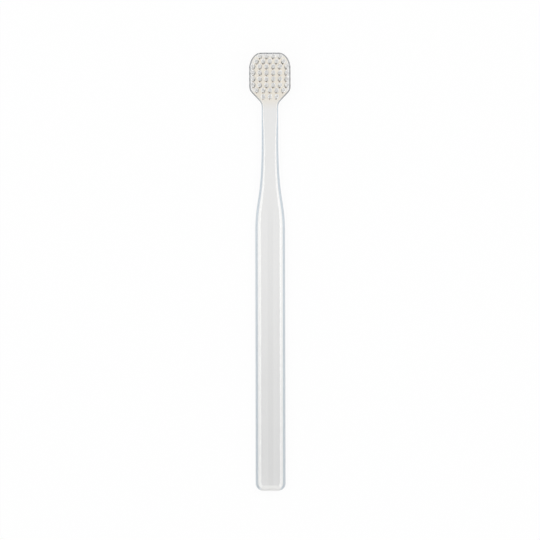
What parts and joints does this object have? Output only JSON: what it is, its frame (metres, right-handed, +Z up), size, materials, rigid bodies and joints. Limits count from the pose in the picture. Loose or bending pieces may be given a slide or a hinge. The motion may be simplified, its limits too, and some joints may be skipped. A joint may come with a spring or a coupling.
{
  "type": "manual toothbrush",
  "caption": "Straight clear-plastic toothbrush: flat grip, slim neck and a paddle head with staggered tufts of white filaments, each folded round a metal anchor in a blind socket.",
  "frame": {"origin": "under the middle of the length, on the plane of the grip's flat back", "axes": "+Y from the tail to the toe of the head, +X across to the right seen from the bristle side, +Z up out of the bristle side"},
  "size_m": [0.016, 0.17, 0.0157],
  "materials": {
    "clear_plastic": "polished clear moulding, faint cool grey in the thickness",
    "filament": "translucent white filaments, cut level",
    "anchor_brass": "dull brass plate"
  },
  "bodies": {
    "root": {"handle": "clear_plastic", "anchors": "anchor_brass", "tuft_row1_1": "filament", "tuft_row1_2": "filament", "tuft_row1_3": "filament", "tuft_row1_4": "filament", "tuft_row2_1": "filament", "tuft_row2_2": "filament", "tuft_row2_3": "filament", "tuft_row2_4": "filament", "tuft_row2_5": "filament", "tuft_row3_1": "filament", "tuft_row3_2": "filament", "tuft_row3_3": "filament", "tuft_row3_4": "filament", "tuft_row3_5": "filament", "tuft_row3_6": "filament", "tuft_row4_1": "filament", "tuft_row4_2": "filament", "tuft_row4_3": "filament", "tuft_row4_4": "filament", "tuft_row4_5": "filament", "tuft_row4_6": "filament", "tuft_row5_1": "filament", "tuft_row5_2": "filament", "tuft_row5_3": "filament", "tuft_row5_4": "filament", "tuft_row5_5": "filament", "tuft_row5_6": "filament", "tuft_row6_1": "filament", "tuft_row6_2": "filament", "tuft_row6_3": "filament", "tuft_row6_4": "filament", "tuft_row6_5": "filament", "tuft_row6_6": "filament", "tuft_row7_1": "filament", "tuft_row7_2": "filament", "tuft_row7_3": "filament", "tuft_row7_4": "filament", "tuft_row7_5": "filament", "tuft_row8_1": "filament", "tuft_row8_2": "filament", "tuft_row8_3": "filament"}
  },
  "joints": []
}
